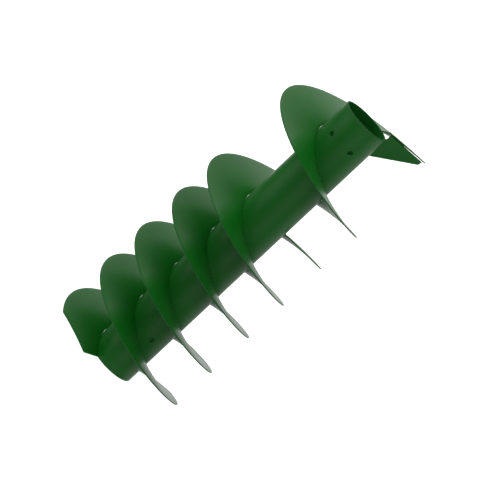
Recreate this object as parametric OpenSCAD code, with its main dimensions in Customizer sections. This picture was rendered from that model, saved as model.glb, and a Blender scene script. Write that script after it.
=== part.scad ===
// Welded double-flight auger section: a plain tube that carries two left-hand helical
// flights of different length, drilled at both ends for the bolts of a drive stub,
// with a triangular gusset under the free end of the long flight.
// Origin: centre of the plain end of the tube. +Z runs along the tube to the drive end.

/* [Tube] */
// Outside diameter of the tube
tube_od = 88.9; // [80:0.1:100]
// Wall thickness of the tube
tube_wall = 3.2; // [2:0.1:5]
// Length of the tube
tube_len = 600; // [580:1:610]

/* [Bolt holes] */
// Diameter of the radial bolt holes
bolt_hole_d = 9; // [6:0.5:12]
// Distance of the two holes of the plain end from that end
plain_hole_z = 88; // [80:1:95]
// Distance of the ring of holes of the drive end from that end
drive_hole_inset = 49; // [40:1:60]
// Holes in the ring of the drive end
drive_holes = 6; // [2, 4, 6]

/* [Flights] */
// Outside diameter of both flights
flight_od = 258; // [240:1:280]
// Advance of a flight along the tube in one turn
lead = 169.5; // [160:0.5:180]
// Thickness of the flight sheet
flight_t = 2; // [1.5:0.1:4]
// Gap between the inner edge of a flight and the tube
root_gap = 0.3; // [0.15:0.05:1]
// Azimuth at which the long flight leaves the plain end
flight_a_azimuth = -54.3; // [-60:0.1:-48]
// Azimuth at which the short flight leaves the plain end
flight_b_azimuth = 132.2; // [126:0.1:138]
// Angle swept by the long flight
flight_a_sweep = 1297.5; // [1200:0.5:1310]
// Angle swept by the short flight
flight_b_sweep = 779; // [770:0.5:1000]
// Radius at which the trimmed corner of a flight meets the plain end
trim_r = 88.5; // [70:0.5:110]
// Angle over which the corner of a flight is trimmed away
trim_sweep = 35; // [20:1:45]

/* [Gusset] */
// Azimuth of the gusset plate
gusset_azimuth = 90; // [88:0.5:91]
// Thickness of the gusset plate
gusset_t = 3; // [2:0.5:4]
// Radius reached by the tip of the gusset
gusset_r = 124; // [100:1:126]
// Length of the gusset along the tube
gusset_len = 45; // [25:1:60]
// Length of the blunt tip of the gusset
gusset_tip = 7.5; // [3:0.5:12]
// Gap between the gusset and the flight above it, at the tube
gusset_gap = 0.8; // [0.8:0.1:1.5]
// How much wider that gap is at the tip
gusset_fall = 0.5; // [0:0.1:3]
// Radius of the relief that keeps the rim of the tube free
relief_r = 50.4; // [48:0.1:56]

/* [Welds] */
// Leg of the stitch welds along the root of a flight
stitch_leg = 5; // [3:0.5:6]
// Angle that one stitch weld runs round the tube
stitch_sweep = 30; // [15:5:40]
// Azimuth of one stitch weld; the others follow at a third of a turn
stitch_azimuth = -22; // [-30:1:-15]
// Width of the seam welds between flight sections
seam_w = 5; // [3:0.5:8]
// Height of the seam welds
seam_h = 1; // [0.6:0.1:2]

/* [Hidden] */
$fn = 96;

tube_r = tube_od / 2;
root_r = tube_r + root_gap;      // inner edge of a flight
rim_r = flight_od / 2;           // outer edge of a flight
section_sweep = 360;             // a flight is made of one-turn sections, the last one shorter
step = 5;                        // angle between two facets of a flight
bands = 3;                       // facets of a flight from its root to its rim
start_sweep = 0.5;               // a flight starts this far round from the plain end
weld_gap = 0.15;                 // keeps a weld bead off the faces that it joins
tube_gap = 0.05;                 // keeps the gusset off the tube
stitch_spacing = 120;            // three stitch welds a turn
seam_margin = 2;                 // distance of a seam weld's end from the rim
seam_points = 7;                 // stretches of a seam weld along its length
// Cross-section of a seam weld, as fractions of its width and height
seam_profile = [[-0.5, 0], [-0.25, 0.85], [0, 1], [0.25, 0.85], [0.5, 0]];
stitch_belly = 0.6;              // how far the face of a stitch weld stands out of its corner
gusset_leg = 4;                  // leg of the fillet welds of the gusset
gusset_turn = flight_a_azimuth - gusset_azimuth + 4 * section_sweep; // where the long flight passes it
gusset_top_r = gusset_r + 1.5;   // upper corner of the tip
gusset_corner = 7;               // height of the corner cut off next to the tube's end
relief_drop = 1;                 // depth of the relief below the tube's end
shell_green = [0.15, 0.34, 0.16];
tube_green = [0.12, 0.28, 0.14];
weld_green = [0.17, 0.36, 0.18];

// Height of the middle of a flight after a turn of t degrees
function flight_z(t) = lead * t / 360;

// Sheet thickness measured along the tube, at radius r
function rise(r) = flight_t * sqrt(1 + pow(lead / (2 * PI * r), 2));

// Height of the underside of a flight, dressed flush with the plain end
function under_z(r, t) = max(0, flight_z(t) - rise(r) / 2);
function upper_z(r, t) = flight_z(t) + rise(r) / 2;

// Point at radius r and turn t on a flight that starts at azimuth a: the hand is left
function at(a, r, t, z) = [r * cos(a - t), r * sin(a - t), z];

// Outer radius of a flight: a straight cut takes its corner away next to the plain end
function cut_r(t) =
    let (u = rim_r * [cos(trim_sweep), sin(trim_sweep)] - [trim_r, 0])
    trim_r * u[1] / (u[1] * cos(t) - u[0] * sin(t));
function outer_r(t) = t < trim_sweep ? min(rim_r, cut_r(t)) : rim_r;

// Radius of facet line j between the root and the rim
function band_r(j, t) = root_r * pow(outer_r(t) / root_r, j / bands);

// Angles from t0 to t1 in steps, with the last step shortened to end on t1
function stations(t0, t1) = [for (t = t0; t < t1 - 0.01; t = t + step) t, t1];

// Skin of a closed ring of n points repeated m times, with flat caps at both ends.
// The first few quads of a ring, as many as turned says, are split along the other diagonal.
function swept_faces(n, m, turned = 0) = concat(
    [[for (j = [0 : n - 1]) j]],
    [for (i = [0 : m - 2], j = [0 : n - 1])
        let (k = (j + 1) % n, a = i * n + j, b = a + n, c = (i + 1) * n + k, d = i * n + k)
        each j < turned ? [[a, b, d], [b, c, d]] : [[a, b, c], [a, c, d]]],
    [[for (j = [n - 1 : -1 : 0]) (m - 1) * n + j]]);

// Stretch of a flight from turn t0 to turn t1. Both faces of the sheet are split along the
// same diagonals, which keeps its thickness even.
module flight(a, t0, t1) {
    ts = stations(t0, t1);
    points = [for (t = ts) each concat(
        [for (j = [0 : bands]) let (r = band_r(j, t)) at(a, r, t, upper_z(r, t))],
        [for (j = [bands : -1 : 0]) let (r = band_r(j, t)) at(a, r, t, under_z(r, t))])];
    color(shell_green) polyhedron(points, swept_faces(2 * bands + 2, len(ts), bands));
}

// Section n of a flight, counted from the plain end
module section(a, sweep, n) {
    flight(a, max(start_sweep, section_sweep * (n - 1)), min(sweep, section_sweep * n));
}

// Bead under the butt joint at the end of section n of a flight
module seam_weld(a, n) {
    t = section_sweep * n;
    r0 = root_r + stitch_leg + 1;
    rs = [for (i = [0 : seam_points]) r0 + (rim_r - seam_margin - r0) * i / seam_points];
    points = [for (r = rs, p = seam_profile)
        let (dt = p[0] * seam_w / r * 180 / PI)
        at(a, r, t + dt, under_z(r, t + dt) - weld_gap - p[1] * seam_h)];
    color(weld_green) polyhedron(points, swept_faces(len(seam_profile), len(rs)));
}

// One fillet bead along the root of a flight, on the side of the plain end
module stitch_weld(a, t_mid) {
    ts = stations(t_mid - stitch_sweep / 2, t_mid + stitch_sweep / 2);
    r = tube_r + weld_gap;
    points = [for (t = ts) let (z = under_z(root_r, t) - weld_gap) each [
        at(a, r, t, z),
        at(a, r, t, z - stitch_leg),
        at(a, r + stitch_belly * stitch_leg, t, z - stitch_belly * stitch_leg),
        at(a, r + stitch_leg, t, under_z(r + stitch_leg, t) - weld_gap)]];
    color(weld_green) polyhedron(points, swept_faces(4, len(ts)));
}

// The stitch welds of section n of a flight that ends at turn sweep
module stitch_welds(a, sweep, n) {
    first = (a - stitch_azimuth + 720) % stitch_spacing;
    top = tube_len / lead * 360;
    for (t = [first : stitch_spacing : min(sweep, top) - stitch_sweep / 2])
        if (t > section_sweep * (n - 1) && t < section_sweep * n && t > stitch_sweep / 2)
            stitch_weld(a, t);
}

// Radial hole through one wall of the tube
module radial_hole(azimuth, z) {
    rotate([0, 0, azimuth]) translate([tube_r - 2 * tube_wall, 0, z])
        rotate([0, 90, 0]) cylinder(d = bolt_hole_d, h = 4 * tube_wall, $fn = 48);
}

module core_tube() {
    color(tube_green) difference() {
        cylinder(r = tube_r, h = tube_len);
        translate([0, 0, -1]) cylinder(r = tube_r - tube_wall, h = tube_len + 2);
        for (azimuth = [0, 180]) radial_hole(azimuth, plain_hole_z);
        for (i = [0 : drive_holes - 1])
            radial_hole(360 * i / drive_holes, tube_len - drive_hole_inset);
    }
}

// Height of the gusset's top edge at radius r: it falls away from the flight towards the tip
function gusset_top(r) = under_z(r, gusset_turn) - gusset_gap
    - gusset_fall * (r - relief_r) / (gusset_r - relief_r);

// Places a flat outline, drawn with the radius as X and the height as Y, as an upright plate
module upright(azimuth, t) {
    rotate([0, 0, azimuth]) rotate([90, 0, 0]) linear_extrude(t, center = true) children();
}

module end_gusset() {
    root = tube_r + tube_gap;
    color(shell_green) upright(gusset_azimuth, gusset_t) polygon([
        [root, tube_len - gusset_len],
        [gusset_r, gusset_top(gusset_r) - gusset_tip],
        [gusset_top_r, gusset_top(gusset_top_r)],
        [relief_r, gusset_top(relief_r)],
        [relief_r, tube_len - relief_drop],
        [root, tube_len - gusset_corner]]);
}

// Fillet bead between the gusset and the tube, on the far face of the gusset
module gusset_root_weld() {
    inset = 0.5;         // depth by which the bead is drawn into the tube before it is cut back
    low_margin = 4;      // distance of the bead's lower end from the gusset's
    high_margin = 2;     // distance of its upper end from the gusset's cut corner
    length = gusset_len - gusset_corner - low_margin - high_margin;
    color(weld_green) difference() {
        rotate([0, 0, gusset_azimuth])
            translate([tube_r - inset, gusset_t / 2 + weld_gap, tube_len - gusset_len + low_margin])
            linear_extrude(length)
            polygon([[0, 0], [gusset_leg + inset, 0],
                     [0.4 * gusset_leg + inset, 0.55 * gusset_leg], [0, gusset_leg]]);
        cylinder(r = tube_r + tube_gap, h = tube_len);
    }
}

// Fillet bead between the top edge of the gusset and the underside of the long flight
module gusset_flight_weld() {
    start = 2;           // distance of the bead from the relief
    length = 30;
    stretches = 5;
    rs = [for (i = [0 : stretches]) relief_r + start + length * i / stretches];
    side = gusset_t / 2 + weld_gap;
    // Turn of a point that lies d beyond the middle of the gusset at radius r
    function turn(r, d) = gusset_turn - asin(d / r);
    function corner(r, d, drop) = let (t = turn(r, d))
        at(flight_a_azimuth, r, t, under_z(r, t) - weld_gap - drop);
    points = [for (r = rs) each [
        corner(r, side, 0), corner(r, side + gusset_leg, 0),
        corner(r, side + 0.45 * gusset_leg, 0.6 * gusset_leg), corner(r, side, gusset_leg)]];
    color(weld_green) polyhedron(points, swept_faces(4, len(rs)));
}

core_tube();
section(flight_a_azimuth, flight_a_sweep, 1);  // flight_a_1
section(flight_a_azimuth, flight_a_sweep, 2);  // flight_a_2
section(flight_a_azimuth, flight_a_sweep, 3);  // flight_a_3
section(flight_a_azimuth, flight_a_sweep, 4);  // flight_a_4
section(flight_b_azimuth, flight_b_sweep, 1);  // flight_b_1
section(flight_b_azimuth, flight_b_sweep, 2);  // flight_b_2
section(flight_b_azimuth, flight_b_sweep, 3);  // flight_b_3
seam_weld(flight_a_azimuth, 1);  // seam_weld_a_1
seam_weld(flight_a_azimuth, 2);  // seam_weld_a_2
seam_weld(flight_a_azimuth, 3);  // seam_weld_a_3
seam_weld(flight_b_azimuth, 1);  // seam_weld_b_1
seam_weld(flight_b_azimuth, 2);  // seam_weld_b_2
stitch_welds(flight_a_azimuth, flight_a_sweep, 1);  // stitch_welds_a_1
stitch_welds(flight_a_azimuth, flight_a_sweep, 2);  // stitch_welds_a_2
stitch_welds(flight_a_azimuth, flight_a_sweep, 3);  // stitch_welds_a_3
stitch_welds(flight_a_azimuth, flight_a_sweep, 4);  // stitch_welds_a_4
stitch_welds(flight_b_azimuth, flight_b_sweep, 1);  // stitch_welds_b_1
stitch_welds(flight_b_azimuth, flight_b_sweep, 2);  // stitch_welds_b_2
stitch_welds(flight_b_azimuth, flight_b_sweep, 3);  // stitch_welds_b_3
end_gusset();
gusset_root_weld();
gusset_flight_weld();
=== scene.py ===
"""Looks of the double-flight auger section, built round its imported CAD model.

Everything is in metres in the row's frame: the origin is the centre of the tube's plain end,
and +Z runs along the tube to the drive end. Lengths below in millimetres go through MM.
"""

import math

import bmesh
import bpy
from mathutils import Matrix, Vector


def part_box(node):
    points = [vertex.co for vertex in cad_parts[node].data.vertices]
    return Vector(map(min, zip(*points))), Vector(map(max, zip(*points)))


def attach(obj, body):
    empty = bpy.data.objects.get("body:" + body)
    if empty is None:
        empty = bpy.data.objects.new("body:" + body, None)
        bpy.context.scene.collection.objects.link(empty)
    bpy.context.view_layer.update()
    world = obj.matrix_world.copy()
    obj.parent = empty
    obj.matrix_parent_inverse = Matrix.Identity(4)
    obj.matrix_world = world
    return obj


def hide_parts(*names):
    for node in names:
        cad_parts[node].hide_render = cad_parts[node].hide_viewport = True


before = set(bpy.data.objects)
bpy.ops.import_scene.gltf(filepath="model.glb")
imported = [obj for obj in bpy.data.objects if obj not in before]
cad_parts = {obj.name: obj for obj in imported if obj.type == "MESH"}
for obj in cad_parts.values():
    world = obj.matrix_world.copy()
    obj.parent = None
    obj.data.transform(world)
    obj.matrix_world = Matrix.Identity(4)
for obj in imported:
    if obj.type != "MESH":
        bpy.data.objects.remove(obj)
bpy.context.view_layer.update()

MM = 0.001

# ---------------------------------------------------------------- dimensions of the part, in mm
TUBE_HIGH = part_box("core_tube")[1]
TUBE_R = TUBE_HIGH.x / MM
TUBE_LEN = TUBE_HIGH.z / MM
TUBE_WALL = 3.2
HOLE_R = 4.5
PLAIN_HOLE_Z, DRIVE_HOLE_Z = 88, 551
PLAIN_HOLES = [(0, PLAIN_HOLE_Z), (180, PLAIN_HOLE_Z)]  # azimuth in degrees, height
DRIVE_HOLES = [(60 * i, DRIVE_HOLE_Z) for i in range(6)]

RIM_R = 129.0
ROOT_R = TUBE_R + 0.3
LEAD = 169.5
SHEET = 2.0
FLIGHTS = {"a": (-54.3, 1297.5), "b": (132.2, 779.0)}  # azimuth at the plain end, sweep
START_SWEEP = 0.5
SECTION = 360
TRIM_R, TRIM_SWEEP = 88.5, 35

GUSSET_AZ, GUSSET_T, GUSSET_R = 90, 3.0, 124.0
GUSSET_LEN, GUSSET_TIP, RELIEF_R = 45.0, 7.5, 50.4
GUSSET_TOP_R = GUSSET_R + 1.5  # upper corner of the tip
GUSSET_GAP, GUSSET_FALL = 0.8, 0.5  # gap to the flight at the tube, and how much it widens
GUSSET_TURN = FLIGHTS["a"][0] - GUSSET_AZ + 4 * SECTION

STITCH_LEG, STITCH_SWEEP, STITCH_AZ, STITCH_EVERY = 5.0, 30, -22, 120
SEAM_W, SEAM_H = 5.0, 1.0
WELD_GAP = 0.15  # keeps a weld bead off the faces that it joins
TUBE_GAP = 0.05  # keeps the gusset off the tube
SEAM_MARGIN = 2  # distance of a seam weld's end from the rim
GUSSET_CORNER = 7  # height of the corner cut off next to the tube's end
GUSSET_LEG = 4.0  # leg of the fillet welds of the gusset


def flight_z(t):
    """Height of the middle of a flight after a turn of t degrees."""
    return LEAD * t / 360


def rise(r):
    """Half the sheet's thickness measured along the tube, at radius r."""
    return SHEET / 2 * math.sqrt(1 + (LEAD / (2 * math.pi * r)) ** 2)


def polar(azimuth, r, z):
    """Point at azimuth (degrees), radius and height (mm), in metres."""
    a = math.radians(azimuth)
    return Vector((r * math.cos(a) * MM, r * math.sin(a) * MM, z * MM))


def under_z(r, t):
    """Height of the underside of a flight, dressed flush with the plain end."""
    return max(0.0, flight_z(t) - rise(r))


def outer_r(t):
    """Outer radius of a flight: a straight cut takes its corner away next to the plain end."""
    if t >= TRIM_SWEEP:
        return RIM_R
    s = math.radians(TRIM_SWEEP)
    u = (RIM_R * math.cos(s) - TRIM_R, RIM_R * math.sin(s))
    a = math.radians(t)
    return min(RIM_R, TRIM_R * u[1] / (u[1] * math.cos(a) - u[0] * math.sin(a)))


# ---------------------------------------------------------------- mesh helpers
def make_piece(name, points, faces, material, nodes, edge=None, sharp=32):
    """A piece from points and faces, smooth except at sharp edges, that stands for CAD nodes.

    edge holds for each point how strongly its paint turns darker, from 0 to 1, partly for wear and partly as
    painted shade."""
    mesh = bpy.data.meshes.new(name)
    mesh.from_pydata([tuple(p) for p in points], [], faces)
    layer = mesh.attributes.new("wear_and_shade_weight", "FLOAT", "POINT")
    layer.data.foreach_set("value", edge or [0.0] * len(points))
    bm = bmesh.new()
    bm.from_mesh(mesh)
    bmesh.ops.remove_doubles(bm, verts=bm.verts, dist=1e-7)
    bmesh.ops.recalc_face_normals(bm, faces=bm.faces)
    limit = math.radians(sharp)
    for f in bm.faces:
        f.smooth = True
    for e in bm.edges:
        e.smooth = len(e.link_faces) == 2 and e.calc_face_angle(0.0) < limit
    bm.to_mesh(mesh)
    bm.free()
    piece = bpy.data.objects.new(name, mesh)
    bpy.context.scene.collection.objects.link(piece)
    mesh.materials.append(material)
    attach(piece, "root")
    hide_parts(*nodes)
    return piece


def skin(rows):
    """Quads between neighbouring closed rows of equally many points."""
    faces = []
    n = len(rows[0])
    for i in range(len(rows) - 1):
        for j in range(n):
            k = (j + 1) % n
            a, b = i * n, (i + 1) * n
            faces.append((a + j, b + j, b + k, a + k))
    return faces


# ---------------------------------------------------------------- materials
def node(tree, kind, **values):
    """A new shader node, with its inputs or properties set by name."""
    n = tree.nodes.new(kind)
    for key, value in values.items():
        if key in n.inputs:
            n.inputs[key].default_value = value
        else:
            setattr(n, key, value)
    return n


def noise(tree, coords, scale, detail=3.0, roughness=0.5):
    n = node(tree, "ShaderNodeTexNoise")
    n.inputs["Scale"].default_value = scale
    n.inputs["Detail"].default_value = detail
    n.inputs["Roughness"].default_value = roughness
    tree.links.new(coords, n.inputs["Vector"])
    return n.outputs["Fac"]


def remap(tree, value, low, high, to_low, to_high):
    n = node(tree, "ShaderNodeMapRange")
    tree.links.new(value, n.inputs["Value"])
    for key, number in zip(("From Min", "From Max", "To Min", "To Max"), (low, high, to_low, to_high)):
        n.inputs[key].default_value = number
    return n.outputs["Result"]


def mixed(tree, factor, a, b):
    """Colour between a and b; each is a socket or a colour."""
    n = node(tree, "ShaderNodeMix", data_type="RGBA")
    for socket, value in ((n.inputs[0], factor), (n.inputs[6], a), (n.inputs[7], b)):
        if isinstance(value, (float, tuple)):
            socket.default_value = value
        else:
            tree.links.new(value, socket)
    return n.outputs[2]


def math_node(tree, operation, a, b):
    n = node(tree, "ShaderNodeMath", operation=operation)
    for socket, value in ((n.inputs[0], a), (n.inputs[1], b)):
        if isinstance(value, (int, float)):
            socket.default_value = value
        else:
            tree.links.new(value, socket)
    return n.outputs[0]


def paint(name, deep, light, worn_and_shaded, rough, peel):
    """Satin paint on steel: clouded colour, orange peel, gentle changes of gloss, and darker edges that are
    partly wear and partly painted shade."""
    material = bpy.data.materials.new(name)
    material.use_nodes = True
    tree = material.node_tree
    shader = tree.nodes["Principled BSDF"]
    coords = node(tree, "ShaderNodeTexCoord").outputs["Object"]

    clouds = noise(tree, coords, 14.0, 4.0, 0.55)
    mottle = noise(tree, coords, 130.0, 3.0, 0.6)
    colour = mixed(tree, remap(tree, clouds, 0.32, 0.68, 0.0, 1.0), deep, light)
    tint = tuple(0.92 * c for c in light[:3]) + (1.0,)
    colour = mixed(tree, remap(tree, mottle, 0.4, 0.8, 0.0, 0.3), colour, tint)

    # the darker colour along rims, roots, hole lips and plate edges is partly wear and partly painted shade
    wear_and_shade_weight = node(tree, "ShaderNodeAttribute", attribute_name="wear_and_shade_weight").outputs["Fac"]
    scuff = noise(tree, coords, 220.0, 5.0, 0.7)
    wear_and_shade = math_node(tree, "MULTIPLY", wear_and_shade_weight, remap(tree, scuff, 0.4, 0.62, 0.35, 1.0))
    colour = mixed(tree, wear_and_shade, colour, worn_and_shaded)
    tree.links.new(colour, shader.inputs["Base Color"])

    roughness = remap(tree, noise(tree, coords, 18.0, 2.0, 0.5), 0.3, 0.7, rough - 0.02, rough + 0.02)
    roughness = math_node(tree, "ADD", roughness, math_node(tree, "MULTIPLY", wear_and_shade, 0.1))
    tree.links.new(roughness, shader.inputs["Roughness"])

    orange_peel = noise(tree, coords, 420.0, 2.0, 0.45)
    waves = noise(tree, coords, 45.0, 2.0, 0.4)
    bump = node(tree, "ShaderNodeBump")
    bump.inputs["Strength"].default_value = peel
    bump.inputs["Distance"].default_value = 0.0004
    tree.links.new(orange_peel, bump.inputs["Height"])
    swell = node(tree, "ShaderNodeBump")
    swell.inputs["Strength"].default_value = 0.5 * peel
    swell.inputs["Distance"].default_value = 0.0015
    tree.links.new(waves, swell.inputs["Height"])
    tree.links.new(swell.outputs["Normal"], bump.inputs["Normal"])
    tree.links.new(bump.outputs["Normal"], shader.inputs["Normal"])
    shader.inputs["IOR"].default_value = 1.5
    return material


FLIGHT_PAINT = paint(
    "flight_paint",
    deep=(0.0038, 0.197, 0.0105, 1.0),
    light=(0.005, 0.225, 0.0132, 1.0),
    # a darker green for rims and edges, partly wear and partly painted shade
    worn_and_shaded=(0.004, 0.11, 0.011, 1.0),
    rough=0.3,
    peel=0.03,
)
TUBE_PAINT = paint(
    "tube_paint",
    deep=(0.0035, 0.183, 0.0098, 1.0),
    light=(0.0048, 0.208, 0.0125, 1.0),
    # a darker green for rims and hole lips, partly wear and partly painted shade
    worn_and_shaded=(0.006, 0.14, 0.015, 1.0),
    rough=0.3,
    peel=0.03,
)
SAWN_PAINT = paint(
    "sawn_end_paint",
    deep=(0.0035, 0.15, 0.0098, 1.0),
    light=(0.0048, 0.17, 0.0125, 1.0),
    worn_and_shaded=(0.004, 0.12, 0.011, 1.0),
    rough=0.6,
    peel=0.2,
)
SAWN_PAINT.node_tree.nodes["Principled BSDF"].inputs["Specular IOR Level"].default_value = 0.3  # a dry coat
# bore_paint is a darker copy of the tube's paint: painted shade inside the bore
BORE_PAINT = paint(
    "bore_paint",
    deep=(0.003, 0.125, 0.009, 1.0),
    light=(0.004, 0.14, 0.011, 1.0),
    worn_and_shaded=(0.006, 0.12, 0.015, 1.0),
    rough=0.65,
    peel=0.08,
)
PAINTED_LIGHT_REACH = 60  # how far the plain paint reaches into the bore from each end, in mm, before the painted light deep in the bore takes over


def paint_light_deep_in_bore(material):
    """Painted light deep in the bore: past a ragged depth from each end the colour turns to a pale uneven
    green, lighter than the paint near the ends.
    """
    tree = material.node_tree
    shader = tree.nodes["Principled BSDF"]
    coords = node(tree, "ShaderNodeTexCoord").outputs["Object"]
    split = node(tree, "ShaderNodeSeparateXYZ")
    tree.links.new(coords, split.inputs[0])
    height = split.outputs["Z"]
    depth = math_node(tree, "MINIMUM", height, math_node(tree, "SUBTRACT", TUBE_LEN * MM, height))
    ragged = math_node(tree, "MULTIPLY", noise(tree, coords, 90.0, 4.0, 0.6), 0.2 * PAINTED_LIGHT_REACH * MM)
    depth = math_node(tree, "SUBTRACT", depth, ragged)
    painted_light_mask = remap(tree, depth, 0.4 * PAINTED_LIGHT_REACH * MM, PAINTED_LIGHT_REACH * MM, 0.0, 1.0)
    # pale green painted light for the deep bore, which is in shade
    painted_light_colour = mixed(tree, noise(tree, coords, 160.0, 5.0, 0.65), (0.08, 0.4, 0.1, 1.0), (0.11, 0.46, 0.13, 1.0))
    painted = shader.inputs["Base Color"].links[0].from_socket
    tree.links.new(mixed(tree, painted_light_mask, painted, painted_light_colour), shader.inputs["Base Color"])


paint_light_deep_in_bore(BORE_PAINT)
BORE_PAINT.node_tree.nodes["Principled BSDF"].inputs["Specular IOR Level"].default_value = 0.12  # a dry coat
WELD_PAINT = paint(
    "weld_paint",
    deep=(0.0035, 0.18, 0.0098, 1.0),
    light=(0.0048, 0.21, 0.0125, 1.0),
    worn_and_shaded=(0.02, 0.2, 0.03, 1.0),
    rough=0.3,
    peel=0.12,
)


# ---------------------------------------------------------------- flights
RIM_EDGE, ROOT_EDGE = 0.7, 0.2  # how far in from the rim and from the root an edge is rounded
FACE_BANDS = 14


def flight_row(azimuth, t):
    """Closed cross-section of a flight at turn t, with rounded edges, and its weights of darker paint, which
    are partly wear and partly painted shade.
    """
    r0, r1 = ROOT_R, outer_r(t)
    inner, outer = r0 + ROOT_EDGE, r1 - RIM_EDGE
    radii = [inner + (outer - inner) * i / FACE_BANDS for i in range(FACE_BANDS + 1)]
    row, wear_and_shade = [], []

    def add(r, level, wear_and_shade_weight):
        """level runs from 1 on the upper face to -1 on the underside."""
        reach = min(r, r1)
        low, high = under_z(reach, t), flight_z(t) + rise(reach)
        row.append(polar(azimuth - t, r, (low + high) / 2 + level * (high - low) / 2))
        wear_and_shade.append(wear_and_shade_weight)

    for r in radii:
        add(r, 1.0, 0.0)
    # darker paint round the rim: partly wear, partly painted shade on the rim face
    for inset, level in ((0.35, 0.94), (0.1, 0.75), (0.0, 0.45), (0.0, -0.45), (0.1, -0.75), (0.35, -0.94)):
        add(r1 - inset, level, 0.9)
    for r in reversed(radii):
        add(r, -1.0, 0.0)
    # darker paint at the root, in the crease against the tube: painted shade
    for inset, level in ((0.05, -0.95), (0.0, -0.8), (0.0, 0.8), (0.05, 0.95)):
        add(r0 + inset, level, 0.3)
    return row, wear_and_shade


def turns(t0, t1, step):
    count = max(1, math.ceil((t1 - t0) / step))
    return [t0 + (t1 - t0) * i / count for i in range(count + 1)]


def flight_section(letter, n):
    azimuth, sweep = FLIGHTS[letter]
    t0 = max(START_SWEEP, SECTION * (n - 1))
    t1 = min(sweep, SECTION * n)
    if n == 1:
        stations = turns(t0, TRIM_SWEEP, 1.5) + turns(TRIM_SWEEP, t1, 2)[1:]
    else:
        stations = turns(t0, t1, 2)
    rows, wear_and_shade = [], []
    for t in stations:
        row, wear_and_shade_weight = flight_row(azimuth, t)
        rows.append(row)
        wear_and_shade += wear_and_shade_weight
    n_row = len(rows[0])
    faces = skin(rows)
    faces.append(tuple(range(n_row)))
    faces.append(tuple(range(len(rows) * n_row - 1, (len(rows) - 1) * n_row - 1, -1)))
    points = [p for row in rows for p in row]
    name = f"flight_{letter}_{n}_sheet"
    return make_piece(name, points, faces, FLIGHT_PAINT, [f"flight_{letter}_{n}"], wear_and_shade)


for letter, (start, sweep) in FLIGHTS.items():
    for n in range(1, math.ceil(sweep / SECTION) + 1):
        flight_section(letter, n)


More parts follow.
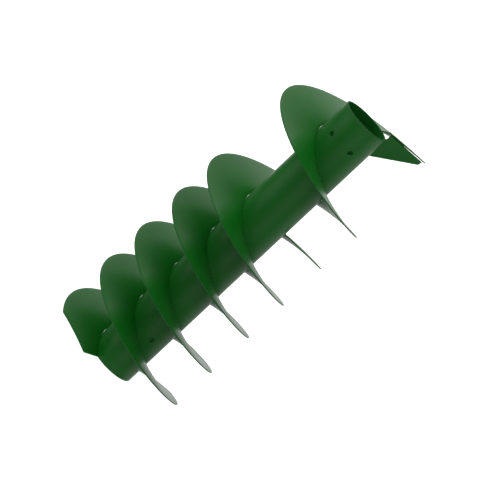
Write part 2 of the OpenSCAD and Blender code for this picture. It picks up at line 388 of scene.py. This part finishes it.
# ---------------------------------------------------------------- tube
def tube_piece():
    """Tube with rounded rims; each bolt hole sits in a square patch of the wall's grid."""
    columns = 144
    cell = 360 / columns
    half = 4  # cells from a hole's centre to the side of its patch
    dz = TUBE_R * math.radians(cell)
    round_r = 0.6
    # each pair is a distance in from the wall's face and one in from the tube's end
    rim = [
        (round_r * (1 - math.cos(math.radians(a))), round_r * (1 - math.sin(math.radians(a))))
        for a in (0, 30, 60, 90)
    ]
    stations = [PLAIN_HOLE_Z + dz * k for k in range(-half, half + 1)]
    stations += [DRIVE_HOLE_Z + dz * k for k in range(-half, half + 1)]
    stations += [10, 20, 35, 50, 65]
    stations += [110 + 22 * k for k in range(20)]
    stations += [570, 580, 590]
    stations = sorted(stations)
    inner_r = TUBE_R - TUBE_WALL
    # one closed loop of (radius, height, weight of darker paint) round the wall's section; the darker paint
    # on the rims is partly wear and partly painted shade
    loop = [(TUBE_R, z, 0.0) for z in stations]
    loop += [(TUBE_R - d, TUBE_LEN - e, 0.7) for d, e in rim]
    loop += [(inner_r + d, TUBE_LEN - e, 0.7) for d, e in rim[::-1]]
    n_in = len(loop)
    loop += [(inner_r, z, 0.0) for z in reversed(stations)]
    loop += [(inner_r + d, e, 0.7) for d, e in rim]
    loop += [(TUBE_R - d, e, 0.7) for d, e in rim[::-1]]
    outer_index = {round(z, 4): i for i, z in enumerate(stations)}
    inner_index = {round(z, 4): n_in + len(stations) - 1 - i for i, z in enumerate(stations)}

    points, wear_and_shade, faces = [], [], []
    n = len(loop)
    for i in range(columns):
        for r, z, wear_and_shade_weight in loop:
            points.append(polar(i * cell, r, z))
            wear_and_shade.append(wear_and_shade_weight)

    skip = set()
    for azimuth, z in PLAIN_HOLES + DRIVE_HOLES:
        ci = round(azimuth / cell)
        for side_index in (outer_index, inner_index):
            base = side_index[round(z - half * dz, 4)]
            for di in range(-half, half):
                for dj in range(2 * half):
                    j = base + dj if side_index is outer_index else base - dj - 1
                    skip.add(((ci + di) % columns, j))
    for i in range(columns):
        for j in range(n):
            if (i, j) in skip:
                continue
            a, b = i * n, ((i + 1) % columns) * n
            k = (j + 1) % n
            faces.append((a + j, b + j, b + k, a + k))

    # walk round a patch: (cells along the azimuth, cells along the tube)
    walk = [(half, k) for k in range(0, half)] + [(k, half) for k in range(half, -half, -1)]
    walk += [(-half, k) for k in range(half, -half, -1)] + [(k, -half) for k in range(-half, half)]
    walk += [(half, k) for k in range(-half, 0)]
    count = len(walk)
    for azimuth, z in PLAIN_HOLES + DRIVE_HOLES:
        ci = round(azimuth / cell)
        rings = []
        for side_index in (outer_index, inner_index):
            ring = []
            for u, v in walk:
                ring.append(((ci + u) % columns) * n + side_index[round(z + v * dz, 4)])
            rings.append(ring)
        middle = []
        # (radius of the ring, radius of the wall it lies on, weight of darker paint, partly wear and partly
        # painted shade at the hole's lip)
        for ring_r, wall_r, wear_and_shade_weight in (
            (6.4, TUBE_R, 0.0),
            (5.2, TUBE_R, 0.1),
            (HOLE_R + 0.35, TUBE_R, 0.6),
            (HOLE_R + 0.1, TUBE_R - 0.1, 0.6),
            (HOLE_R, TUBE_R - 0.35, 0.5),
            (HOLE_R, inner_r + 0.3, 0.2),
            (HOLE_R + 0.3, inner_r, 0.2),
            (6.2, inner_r, 0.0),
        ):
            ring = []
            for k in range(count):
                a = 2 * math.pi * k / count
                across, along = ring_r * math.cos(a), ring_r * math.sin(a)
                depth = math.sqrt(wall_r ** 2 - across ** 2)
                turn = math.radians(azimuth)
                x = depth * math.cos(turn) - across * math.sin(turn)
                y = depth * math.sin(turn) + across * math.cos(turn)
                ring.append(len(points))
                points.append(Vector((x * MM, y * MM, (z + along) * MM)))
                wear_and_shade.append(wear_and_shade_weight)
            middle.append(ring)
        chain = [rings[0]] + middle + [rings[1]]
        for one, two in zip(chain, chain[1:]):
            for k in range(count):
                m = (k + 1) % count
                faces.append((one[k], one[m], two[m], two[k]))

    piece = make_piece("core_tube_wall", points, faces, TUBE_PAINT, ["core_tube"], wear_and_shade)
    piece.data.materials.append(BORE_PAINT)
    piece.data.materials.append(SAWN_PAINT)
    for polygon in piece.data.polygons:
        c = polygon.center
        from_end = min(c.z / MM, TUBE_LEN - c.z / MM)
        if from_end < round_r:
            polygon.material_index = 2
        elif math.hypot(c.x, c.y) < (inner_r + 0.1) * MM:
            polygon.material_index = 1
    return piece


tube_piece()


# ---------------------------------------------------------------- gusset
def gusset_top(r):
    """Height of the gusset's top edge at radius r: it falls away from the flight to the tip."""
    return under_z(r, GUSSET_TURN) - GUSSET_GAP - GUSSET_FALL * (r - RELIEF_R) / (GUSSET_R - RELIEF_R)


def gusset_piece():
    """Triangular plate with broken edges."""
    outline = [
        (TUBE_R + TUBE_GAP, TUBE_LEN - GUSSET_LEN),
        (GUSSET_R, gusset_top(GUSSET_R) - GUSSET_TIP),
        (GUSSET_TOP_R, gusset_top(GUSSET_TOP_R)),
        (RELIEF_R, gusset_top(RELIEF_R)),
        (RELIEF_R, TUBE_LEN - 1),
        (TUBE_R + TUBE_GAP, TUBE_LEN - GUSSET_CORNER),
    ]
    turn = Matrix.Rotation(math.radians(GUSSET_AZ), 4, "Z")
    bm = bmesh.new()
    side = [bm.verts.new(turn @ Vector((r * MM, -GUSSET_T / 2 * MM, z * MM))) for r, z in outline]
    face = bm.faces.new(side)
    made = bmesh.ops.extrude_face_region(bm, geom=[face])
    moved = [v for v in made["geom"] if isinstance(v, bmesh.types.BMVert)]
    bmesh.ops.translate(bm, verts=moved, vec=turn @ Vector((0, GUSSET_T * MM, 0)))
    bmesh.ops.recalc_face_normals(bm, faces=bm.faces)
    bmesh.ops.bevel(bm, geom=list(bm.edges), offset=0.45 * MM, segments=2, profile=0.5, affect="EDGES")
    bm.verts.index_update()
    points = [v.co.copy() for v in bm.verts]
    faces = [tuple(v.index for v in f.verts) for f in bm.faces]
    areas = sorted((f.calc_area() for f in bm.faces), reverse=True)
    wide = {v.index for f in bm.faces if f.calc_area() >= areas[1] * 0.99 for v in f.verts}
    # darker paint on the plate's edge faces: partly wear, partly painted shade on the thickness
    wear_and_shade = [0.25 if i in wide else 0.9 for i in range(len(points))]
    bm.free()
    name, nodes = "end_gusset_plate", ["end_gusset"]
    return make_piece(name, points, faces, FLIGHT_PAINT, nodes, wear_and_shade, 60)


gusset_piece()


# ---------------------------------------------------------------- weld beads
def bead(path, length, bulge, pitch=1.7, ripple=0.16, across=9):
    """Rows of a weld bead. path(s) gives, at s from 0 to 1, the two legs' ends and the corner
    (metres) and the direction in which the bead stands proud. Returns points and faces."""
    stations = max(12, round(length / 0.45))
    rows = []
    for i in range(stations + 1):
        s = i / stations
        one, two, corner, out = path(s)
        from_end = min(s, 1 - s) * length / 2.2
        scale = math.sqrt(max(0.02, 1 - max(0.0, 1 - from_end) ** 2))
        row = [corner]
        for k in range(across):
            u = k / (across - 1)
            arch = math.sin(math.pi * u)
            wave = math.cos(2 * math.pi * (s * length / pitch - 0.7 * arch))
            height = (bulge + ripple * wave) * arch * MM
            p = one.lerp(two, u) + out * height
            row.append(corner.lerp(p, scale))
        rows.append(row)
    n = len(rows[0])
    faces = skin(rows)
    faces.append(tuple(range(n)))
    faces.append(tuple(range(len(rows) * n - 1, (len(rows) - 1) * n - 1, -1)))
    return [p for row in rows for p in row], faces


def joined(parts):
    points, faces = [], []
    for some_points, some_faces in parts:
        first = len(points)
        points += some_points
        faces += [tuple(first + i for i in f) for f in some_faces]
    return points, faces


def weld_piece(name, node_name, parts):
    points, faces = joined(parts)
    wear_and_shade = [0.12] * len(points)
    return make_piece(name, points, faces, WELD_PAINT, [node_name], wear_and_shade, 50)


def seam_bead(azimuth, n):
    t = SECTION * n
    r0, r1 = ROOT_R + STITCH_LEG + 1, RIM_R - SEAM_MARGIN

    def path(s):
        r = r0 + (r1 - r0) * s
        dt = math.degrees(SEAM_W / 2 / r)
        legs = [polar(azimuth - t - d, r, under_z(r, t + d) - WELD_GAP) for d in (-dt, dt)]
        corner = polar(azimuth - t, r, under_z(r, t) - WELD_GAP)
        return legs[0], legs[1], corner, Vector((0, 0, -1))

    return bead(path, r1 - r0, SEAM_H - 0.2)


def stitch_bead(azimuth, middle):
    r = TUBE_R + WELD_GAP

    def path(s):
        t = middle + STITCH_SWEEP * (s - 0.5)
        az = azimuth - t
        z = under_z(ROOT_R, t) - WELD_GAP
        low = polar(az, r, z - STITCH_LEG)
        high = polar(az, r + STITCH_LEG, under_z(r + STITCH_LEG, t) - WELD_GAP)
        out = (polar(az, 1, 0).normalized() - Vector((0, 0, 1))).normalized()
        return low, high, polar(az, r, z), out

    return bead(path, math.radians(STITCH_SWEEP) * r, 0.5)


def stitch_beads(letter, n):
    azimuth, sweep = FLIGHTS[letter]
    first = (azimuth - STITCH_AZ + 720) % STITCH_EVERY
    last = min(sweep, TUBE_LEN / LEAD * 360) - STITCH_SWEEP / 2
    parts = []
    t = first
    while t <= last:
        if max(SECTION * (n - 1), STITCH_SWEEP / 2) < t < SECTION * n:
            parts.append(stitch_bead(azimuth, t))
        t += STITCH_EVERY
    return parts


for letter, (start, sweep) in FLIGHTS.items():
    count = math.ceil(sweep / SECTION)
    for n in range(1, count + 1):
        weld_piece(f"stitch_beads_{letter}_{n}", f"stitch_welds_{letter}_{n}", stitch_beads(letter, n))
    for n in range(1, count):
        weld_piece(f"seam_bead_{letter}_{n}", f"seam_weld_{letter}_{n}", [seam_bead(start, n)])


def gusset_root_bead():
    leg = GUSSET_LEG
    side = GUSSET_T / 2 + WELD_GAP
    turn = Matrix.Rotation(math.radians(GUSSET_AZ), 4, "Z")
    z0, z1 = TUBE_LEN - GUSSET_LEN + 4, TUBE_LEN - GUSSET_CORNER - 2

    def on_tube(y):
        return math.sqrt((TUBE_R + TUBE_GAP) ** 2 - y ** 2)

    def path(s):
        z = z0 + (z1 - z0) * s
        far = turn @ Vector((on_tube(side + leg) * MM, (side + leg) * MM, z * MM))
        near = turn @ Vector(((TUBE_R + leg) * MM, side * MM, z * MM))
        corner = turn @ Vector((on_tube(side) * MM, side * MM, z * MM))
        out = (turn @ Vector((1, 1, 0))).normalized()
        return far, near, corner, out

    return bead(path, z1 - z0, -0.25, ripple=0.12)


def gusset_flight_bead():
    leg = GUSSET_LEG
    side = GUSSET_T / 2 + WELD_GAP
    r0, r1 = RELIEF_R + 2, RELIEF_R + 32
    azimuth = FLIGHTS["a"][0]

    def corner_at(r, d, drop):
        t = GUSSET_TURN - math.degrees(math.asin(d / r))
        return polar(azimuth - t, r, under_z(r, t) - WELD_GAP - drop)

    def path(s):
        r = r0 + (r1 - r0) * s
        across = (corner_at(r, side + leg, 0) - corner_at(r, side, 0)).normalized()
        out = (across - Vector((0, 0, 1))).normalized()
        return corner_at(r, side + leg, 0), corner_at(r, side, leg), corner_at(r, side, 0), out

    return bead(path, r1 - r0, -0.25, ripple=0.12)


weld_piece("gusset_root_bead", "gusset_root_weld", [gusset_root_bead()])
weld_piece("gusset_flight_bead", "gusset_flight_weld", [gusset_flight_bead()])


# ---------------------------------------------------------------- camera
CAMERA_TARGET = Vector((0, 0, 0.306))
CAMERA_DISTANCE = 6.861
CAMERA_AZIMUTH, CAMERA_ELEVATION, CAMERA_ROLL = -27.0, 14.5, 46.79
CAMERA_LENS = 310.95


def camera_axes():
    a, e, roll = (math.radians(v) for v in (CAMERA_AZIMUTH, CAMERA_ELEVATION, CAMERA_ROLL))
    back = Vector((math.cos(e) * math.cos(a), math.cos(e) * math.sin(a), math.sin(e)))
    level = Vector((-math.sin(a), math.cos(a), 0))
    up = back.cross(level)
    right = math.cos(roll) * level + math.sin(roll) * up
    return right, back.cross(right), back


RIGHT, UP, BACK = camera_axes()
camera_data = bpy.data.cameras.new("camera")
camera_data.lens = CAMERA_LENS
camera_data.sensor_width = 36
camera_data.clip_start, camera_data.clip_end = 0.1, 60
camera = bpy.data.objects.new("camera", camera_data)
bpy.context.scene.collection.objects.link(camera)
camera.matrix_world = Matrix.Translation(CAMERA_TARGET + CAMERA_DISTANCE * BACK) @ Matrix(
    (RIGHT, UP, BACK)
).transposed().to_4x4()
bpy.context.scene.camera = camera


# ---------------------------------------------------------------- floor and light
def floor_material():
    """Plain pale floor that glows evenly, the way a light table does."""
    material = bpy.data.materials.new("floor")
    material.use_nodes = True
    tree = material.node_tree
    shader = tree.nodes["Principled BSDF"]
    coords = node(tree, "ShaderNodeTexCoord").outputs["Object"]
    grain = noise(tree, coords, 6.0, 3.0, 0.5)
    colour = mixed(tree, grain, (0.8, 0.8, 0.8, 1.0), (0.84, 0.84, 0.84, 1.0))
    tree.links.new(colour, shader.inputs["Base Color"])
    shader.inputs["Roughness"].default_value = 0.9
    shader.inputs["Emission Color"].default_value = (1.0, 1.0, 1.0, 1.0)
    shader.inputs["Emission Strength"].default_value = 1.0
    return material


floor_mesh = bpy.data.meshes.new("floor")
REACH = 30.0
corners = [(-REACH, -REACH, 0), (REACH, -REACH, 0), (REACH, REACH, 0), (-REACH, REACH, 0)]
floor_mesh.from_pydata(corners, [], [(0, 1, 2, 3)])
floor_mesh.materials.append(floor_material())
floor = bpy.data.objects.new("floor", floor_mesh)
floor.location = (0, 0, -0.0006)
bpy.context.scene.collection.objects.link(floor)
floor.visible_diffuse = floor.visible_glossy = False


def studio_world(panels):
    """Soft studio light: round soft panels far away, each a direction and a strength."""
    world = bpy.data.worlds.new("studio")
    world.use_nodes = True
    tree = world.node_tree
    background = tree.nodes["Background"]
    direction = node(tree, "ShaderNodeTexCoord").outputs["Generated"]
    light = 0.0
    for place, level in panels:
        facing = node(tree, "ShaderNodeVectorMath", operation="DOT_PRODUCT")
        tree.links.new(direction, facing.inputs[0])
        facing.inputs[1].default_value = place.normalized()
        near = math_node(tree, "MAXIMUM", facing.outputs["Value"], 0.0)
        spot = math_node(tree, "POWER", near, PANEL_FALLOFF)
        light = math_node(tree, "ADD", light, math_node(tree, "MULTIPLY", spot, level))
    seen = node(tree, "ShaderNodeLightPath").outputs["Is Camera Ray"]
    strength = node(tree, "ShaderNodeMix", data_type="FLOAT")
    tree.links.new(seen, strength.inputs[0])
    tree.links.new(light, strength.inputs[2])
    strength.inputs[3].default_value = PAPER_LEVEL
    tree.links.new(strength.outputs[0], background.inputs["Strength"])
    background.inputs["Color"].default_value = (1.0, 1.0, 1.0, 1.0)
    bpy.context.scene.world = world


PANEL_FALLOFF = 8
PAPER_LEVEL = 1.1  # the white surroundings that the camera sees
studio_world([
    (UP, 2.06),
    (UP - BACK, 0.64),
    (RIGHT + UP - BACK, 0.32),
    (BACK + UP - RIGHT, 0.35),
    (-RIGHT, 1.12),
    (-RIGHT - UP, 1.16),
    (RIGHT - UP, 0.47),
    (RIGHT - UP - BACK, 0.45),
    (RIGHT + BACK, 0.85),
    (BACK - UP, 0.36),
    (BACK, 0.38),
    (-BACK, 1.0),
])

bpy.context.scene.view_settings.view_transform = "Standard"
bpy.context.scene.view_settings.look = "None"
